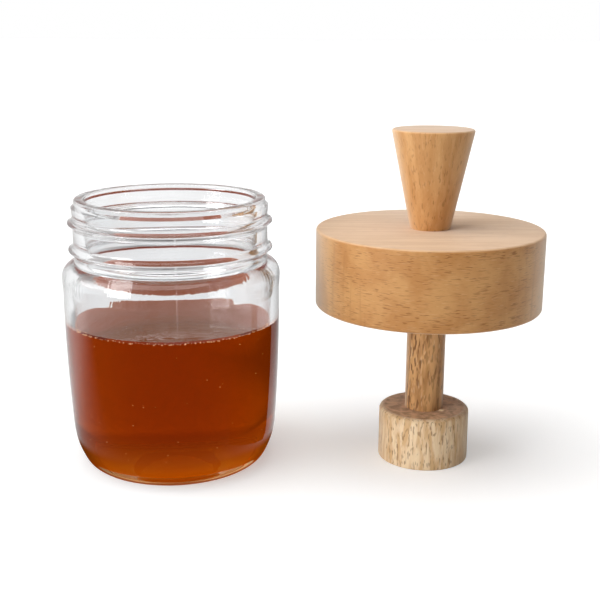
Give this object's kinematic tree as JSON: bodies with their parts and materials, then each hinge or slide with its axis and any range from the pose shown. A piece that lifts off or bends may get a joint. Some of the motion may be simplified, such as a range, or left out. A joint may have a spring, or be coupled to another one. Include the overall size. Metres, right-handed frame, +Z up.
{
  "type": "honey jar with dipper lid",
  "caption": "Open round glass jar part full of honey, with its turned wooden lid, which carries a conical knob and a dipper stem and foot, standing beside it.",
  "frame": {"origin": "on the surface that both pieces stand on, under the middle of the pair's bounding box", "axes": "+Z up; +X from the jar towards the dipper lid; -Y towards the viewer"},
  "size_m": [0.1958, 0.0926, 0.1376],
  "materials": {
    "jar_glass": "clear, smooth, fire-polished",
    "honey": "clear reddish amber honey",
    "beech_lid": "sanded, unvarnished, oiled",
    "beech_knob": "sanded, unvarnished, oiled",
    "hardwood_stem": "sanded, open pores",
    "hardwood_foot": "sanded, open pores, a little honey-stained on top"
  },
  "bodies": {
    "root": {"jar": "jar_glass", "honey": "honey", "lid": "beech_lid", "knob": "beech_knob", "stem": "hardwood_stem", "foot": "hardwood_foot"}
  },
  "joints": []
}
